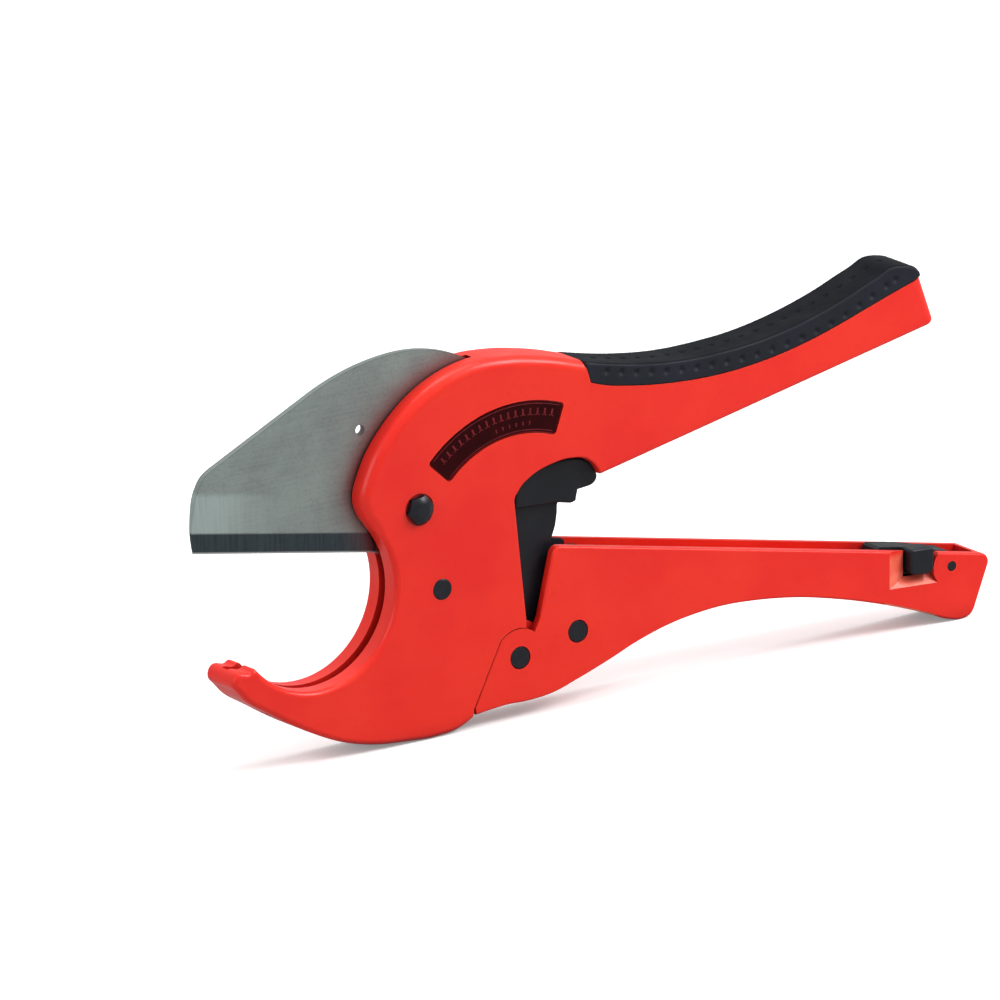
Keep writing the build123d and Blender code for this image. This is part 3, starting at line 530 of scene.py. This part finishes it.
def square_shoulder(verts, points, normals):
    """Push the rounded shoulder out, radially from its arc's centre, to the tighter radius."""
    best = np.full(len(verts), 1e9)
    nearest = np.zeros(len(verts), int)
    for i, (x, z) in enumerate(points):
        squared = (verts[:, 0] - x) ** 2 + (verts[:, 2] - z) ** 2
        closer = squared < best
        best[closer], nearest[closer] = squared[closer], i
    normal = normals[nearest]
    depth = -((verts[:, [0, 2]] - points[nearest]) * normal).sum(1)
    # sideways and upwards from the centre of the old arc
    side = np.abs(verts[:, 1]) - (HALF_WIDTH - CAD_RADIUS)
    rise = CAD_RADIUS - depth
    radius = np.hypot(side, rise)
    moved = (side > 0) & (rise > 0) & (radius > CAD_RADIUS - SHOULDER_BAND)
    side_part = side[moved] / radius[moved]
    rise_part = rise[moved] / radius[moved]
    # distance out to the flat faces, and to the new arc between them
    flat = CAD_RADIUS / np.maximum(side_part, rise_part)
    inset = CAD_RADIUS - SHOULDER_RADIUS
    middle = inset * (side_part + rise_part)
    arc = middle + np.sqrt(np.maximum(middle ** 2 - (2 * inset ** 2 - SHOULDER_RADIUS ** 2), 0))
    on_arc = (arc * side_part > inset) & (arc * rise_part > inset)
    push = np.where(on_arc, arc, flat) - CAD_RADIUS
    verts[moved, 1] += np.sign(verts[moved, 1]) * push * side_part
    verts[moved, 0] += normal[moved, 0] * push * rise_part
    verts[moved, 2] += normal[moved, 1] * push * rise_part


def press_dimples(verts, points, tangents, normals):
    steps = np.linalg.norm(np.diff(points, axis=0), axis=1)
    run = np.concatenate([[0], np.cumsum(steps)])

    def at(distance, rows):
        return np.array([np.interp(distance, run, rows[:, k]) for k in (0, 1)])

    # distance along the top line, and drop of the side dimples below it, in mm
    drop_along = [0, 45, 105, run[-1] / MM]
    drop_below = [2.9, 3.7, 6.3, 5.0]
    count = int((run[-1] - DIMPLE_END - DIMPLE_START) / DIMPLE_PITCH) + 1
    for i in range(count):
        distance = DIMPLE_START + i * DIMPLE_PITCH
        top = at(distance, points)
        tangent = at(distance, tangents)
        up = at(distance, normals)
        up /= np.linalg.norm(up)
        side = top - up * np.interp(distance / MM, drop_along, drop_below) * MM
        # centre, inward direction and depth of the near, far and top dimple
        for centre, inward, depth in (
                ((side[0], -HALF_WIDTH, side[1]), (0, 1, 0), SIDE_DEPTH),
                ((side[0], HALF_WIDTH, side[1]), (0, -1, 0), SIDE_DEPTH),
                ((top[0], 0.0, top[1]), (-up[0], 0, -up[1]), TOP_DEPTH)):
            inward = np.array(inward)
            offset = verts - np.array(centre)
            along = offset @ np.array([tangent[0], 0, tangent[1]])
            off = offset @ inward
            across = np.sqrt(np.maximum((offset ** 2).sum(1) - along ** 2 - off ** 2, 0))
            radius = np.hypot(along / DIMPLE_HALF_LENGTH, across / DIMPLE_HALF_WIDTH) / MM
            weight = np.clip(1 - radius ** 2, 0, 1) ** 1.5
            weight *= np.abs(off) < DIMPLE_REACH
            verts += inward[None, :] * (weight * depth * MM)[:, None]


def grip_skin():
    points, tangents, normals = grip_top_line()
    verts, faces = remeshed("grip_pad", voxel=0.0005, rounds=2)
    square_shoulder(verts, points, normals)
    press_dimples(verts, points, tangents, normals)
    grip = new_piece("grip_rubber_skin", verts, faces, SLOT_MATERIALS["grip_rubber"],
                     "frame")
    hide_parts("grip_pad")


def handle_buffers():
    """Soft buffers at the mouth of the lower handle, with eased edges."""
    verts, faces = remeshed("handle_buffers", voxel=0.00025, rounds=6)
    buffers = new_piece("buffer_rubber", verts, faces, SLOT_MATERIALS["grip_rubber"],
                        "lower_handle")
    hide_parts("handle_buffers")


# The name plate: two thin raised border lines and rows of plain ticks, all bent round one
# centre. Radii and heights in mm, angles in degrees from the level cutter's +X.
PLATE_OFFSET = lean(46.4, -20.1)      # centre from the blade pivot
PLATE_X = BLADE_PIVOT.x + PLATE_OFFSET[0] * MM
PLATE_Z = BLADE_PIVOT.z + PLATE_OFFSET[1] * MM
PLATE_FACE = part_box("name_plate")[0].y / MM
MARK_NEAR, MARK_FAR = PLATE_FACE - 0.09, PLATE_FACE + 0.12
BORDER_ANGLES = (73.2, 136.8)
BORDER_RADII = ((55.0, 55.3), (44.9, 45.2))
TICK_FIRST, TICK_LIMIT, TICK_PITCH = 133.5, 75.5, 3.6
STEM_RADII, STEM_HALF_ANGLE = (50.6, 53.4), 0.42
FOOT_RADII, FOOT_HALF_ANGLE = (50.6, 51.0), 1.15
INNER_RADII, INNER_HALF_ANGLE = (46.9, 48.4), 0.35
INNER_LOW, INNER_HIGH = 84, 106       # the inner row's ticks lie between these


def add_bar(verts, faces, radii, angles, steps):
    """Add a closed bar bent round the plate's centre, its near rim eased."""
    base = len(verts)
    inner, outer = radii
    start, end = angles
    ease = min(0.08, (outer - inner) * 0.25)
    profile = [(inner, MARK_FAR), (inner, MARK_NEAR + ease), (inner + ease, MARK_NEAR),
               (outer - ease, MARK_NEAR), (outer, MARK_NEAR + ease), (outer, MARK_FAR)]
    size = len(profile)
    for i in range(steps + 1):
        angle = math.radians(start + (end - start) * i / steps) - TILT
        for radius, y in profile:
            verts.append((PLATE_X + radius * MM * math.cos(angle), y * MM,
                          PLATE_Z + radius * MM * math.sin(angle)))
    for i in range(steps):
        for j in range(size):
            a = base + i * size + j
            b = base + i * size + (j + 1) % size
            faces.append((a, a + size, b + size, b))
    faces.append(tuple(base + j for j in range(size)))
    faces.append(tuple(base + steps * size + j for j in reversed(range(size))))


def plate_ticks():
    verts, faces = [], []
    for radii in BORDER_RADII:
        add_bar(verts, faces, radii, BORDER_ANGLES, steps=40)
    middle = TICK_FIRST
    while middle > TICK_LIMIT:
        ticks = [(STEM_RADII, STEM_HALF_ANGLE), (FOOT_RADII, FOOT_HALF_ANGLE)]
        if INNER_LOW < middle < INNER_HIGH:
            ticks.append((INNER_RADII, INNER_HALF_ANGLE))
        for radii, half in ticks:
            add_bar(verts, faces, radii, (middle - half, middle + half), steps=2)
        middle -= TICK_PITCH
    marks = new_piece("plate_ticks", verts, faces, INK, "frame", smooth=False)
    bm = bmesh.new()
    bm.from_mesh(marks.data)
    bmesh.ops.recalc_face_normals(bm, faces=bm.faces)
    bm.to_mesh(marks.data)
    bm.free()


grip_skin()
handle_buffers()
plate_ticks()

# ----------------------------------------------------------- floor and world --
FLOOR_X = 0.12
FLOOR_Z = cad_low.z - 0.00002
FLOOR_RADII = [0.6, 1.6, 4.0, 16.0]
FLOOR_SEGMENTS = 48


def floor_material():
    """Pale to the eye, but it throws less light back up at the cutter than it shows."""
    m = Material("floor_pale")
    seen = m.add("LightPath").outputs["Is Camera Ray"]
    pale = m.tint((0.93, 0.93, 0.93), (0.91, 0.91, 0.91),
                  m.noise(scale=3.0, detail=3.0, rough=0.5), span=(0.3, 0.7))
    return m.finish(Base_Color=m.mix(seen, (0.42, 0.42, 0.42), pale), Roughness=0.75,
                    Specular_IOR_Level=0.1, Emission_Color=(1, 1, 1),
                    Emission_Strength=m.multiply(seen, 0.22))


def build_floor():
    """A disc of rings round one centre vertex."""
    verts = [(FLOOR_X, 0.0, FLOOR_Z)]
    for radius in FLOOR_RADII:
        for i in range(FLOOR_SEGMENTS):
            angle = 2 * math.pi * i / FLOOR_SEGMENTS
            verts.append((FLOOR_X + radius * math.cos(angle), radius * math.sin(angle), FLOOR_Z))
    faces = [(0, 1 + i, 1 + (i + 1) % FLOOR_SEGMENTS) for i in range(FLOOR_SEGMENTS)]
    for ring in range(len(FLOOR_RADII) - 1):
        first = 1 + ring * FLOOR_SEGMENTS
        for i in range(FLOOR_SEGMENTS):
            a, b = first + i, first + (i + 1) % FLOOR_SEGMENTS
            faces.append((a, a + FLOOR_SEGMENTS, b + FLOOR_SEGMENTS, b))
    mesh = bpy.data.meshes.new("floor")
    mesh.from_pydata(verts, [], faces)
    mesh.update()
    floor = add_object("floor", mesh)
    mesh.materials.append(floor_material())


def build_world():
    """Light brightening upwards, with plain white behind the cutter for the camera."""
    world = bpy.data.worlds.new("studio")
    scene.world = world
    world.use_nodes = True
    s = Shader(world.node_tree)
    ramp = s.add("ValToRGB")
    low, high = ramp.color_ramp.elements
    low.position, low.color = 0.0, (0.55, 0.55, 0.55, 1)
    high.position, high.color = 1.0, (1.0, 1.0, 1.0, 1)
    s.put(ramp.inputs[0], s.split(s.coords["Generated"])[2])
    seen = s.add("LightPath").outputs["Is Camera Ray"]
    background = world.node_tree.nodes["Background"]
    s.put(background.inputs["Color"], s.mix(seen, ramp.outputs[0], (1.3, 1.3, 1.3)))
    background.inputs["Strength"].default_value = 0.82


build_floor()
build_world()

# --------------------------------------------------------- lights and camera --
AZIMUTH, ELEVATION = math.radians(-32.0), math.radians(13.7)   # against the level cutter
FRAME_WIDTH = 379.50664 * MM  # width the frame covers at the anchor
ANCHOR_RIGHT = 7.779886 * MM  # the anchor lies this far right of the frame's middle
ANCHOR_DOWN = 59.886148 * MM  # and this far below it


def level(x, y, z):
    """A direction given against the level cutter."""
    x, z = lean(x, z)
    return Vector((x, y, z)).normalized()


back = level(math.sin(AZIMUTH) * math.cos(ELEVATION),
             -math.cos(AZIMUTH) * math.cos(ELEVATION), math.sin(ELEVATION))
right = level(math.cos(AZIMUTH), math.sin(AZIMUTH), 0.0)
up = back.cross(right).normalized()
centre = (cad_low + cad_high) / 2


def softbox(name, offset, width, height, power):
    """A rectangular light at an offset from the cutter's centre, facing it."""
    light = bpy.data.lights.new(name, "AREA")
    light.shape = "RECTANGLE"
    light.size = width
    light.size_y = height
    light.energy = power
    ob = add_object(name, light)
    ob.location = centre + offset
    ob.rotation_mode = "QUATERNION"
    ob.rotation_quaternion = offset.to_track_quat("Z", "Y")


def build_camera():
    """A very long lens, placed by the near end of the handle pivot."""
    lens = bpy.data.cameras.new("camera")
    lens.type = "PERSP"
    lens.sensor_width = 36.0
    lens.lens = 1500.0
    lens.clip_start = 0.1
    lens.clip_end = 200.0
    distance = lens.lens / lens.sensor_width * FRAME_WIDTH
    anchor = Vector((HANDLE_PIVOT.x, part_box("body")[0].y, HANDLE_PIVOT.z))
    camera = add_object("camera", lens)
    camera.location = anchor - right * ANCHOR_RIGHT + up * ANCHOR_DOWN + back * distance
    camera.rotation_mode = "QUATERNION"
    camera.rotation_quaternion = Matrix((right, up, back)).transposed().to_quaternion()
    scene.camera = camera


softbox("key", Vector((0.58, -0.50, 0.64)).normalized() * 1.5,
        width=0.6, height=0.6, power=16.5)
softbox("top", Vector((0.1, 0.1, 1.5)), width=1.1, height=0.7, power=9.0)
softbox("fill", (back * 0.8 - right * 0.9 + Vector((0, 0, 1)) * 0.25).normalized() * 1.7,
        width=0.9, height=0.9, power=7.0)
build_camera()
scene.view_settings.view_transform = "Standard"
scene.view_settings.look = "None"
